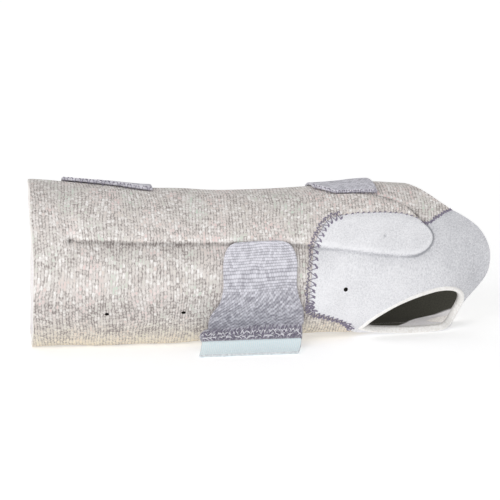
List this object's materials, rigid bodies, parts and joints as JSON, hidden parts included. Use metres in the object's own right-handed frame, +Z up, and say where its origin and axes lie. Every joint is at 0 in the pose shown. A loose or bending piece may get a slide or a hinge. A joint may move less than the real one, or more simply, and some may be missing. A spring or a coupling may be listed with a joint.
{
  "type": "wrist brace",
  "caption": "Long right-hand wrist brace: a padded knit sleeve with a palm panel, thumb hole, stay pocket and hook-and-loop straps, lying on its thumb side.",
  "frame": {"origin": "on the floor, under the middle of the brace's bounding box", "axes": "+X along the sleeve towards the fingers, -Y out of the palm side, +Z up from the thumb side that it lies on"},
  "size_m": [0.2466, 0.091, 0.0873],
  "materials": {
    "melange_knit": "matte ribbed melange knit over foam",
    "brushed_palm": "soft brushed knit, pale grey",
    "strap_knit": "matte loop knit with fine ribs, grey violet",
    "hook_tab": "finely ribbed hook tape, pale blue grey"
  },
  "bodies": {
    "root": {"sleeve": "melange_knit", "palm_panel": "brushed_palm", "wrist_strap": "strap_knit", "wrist_strap_tab": "hook_tab", "forearm_strap": "strap_knit", "forearm_strap_tab": "hook_tab", "hand_strap": "strap_knit", "hand_strap_tab": "hook_tab"}
  },
  "joints": []
}
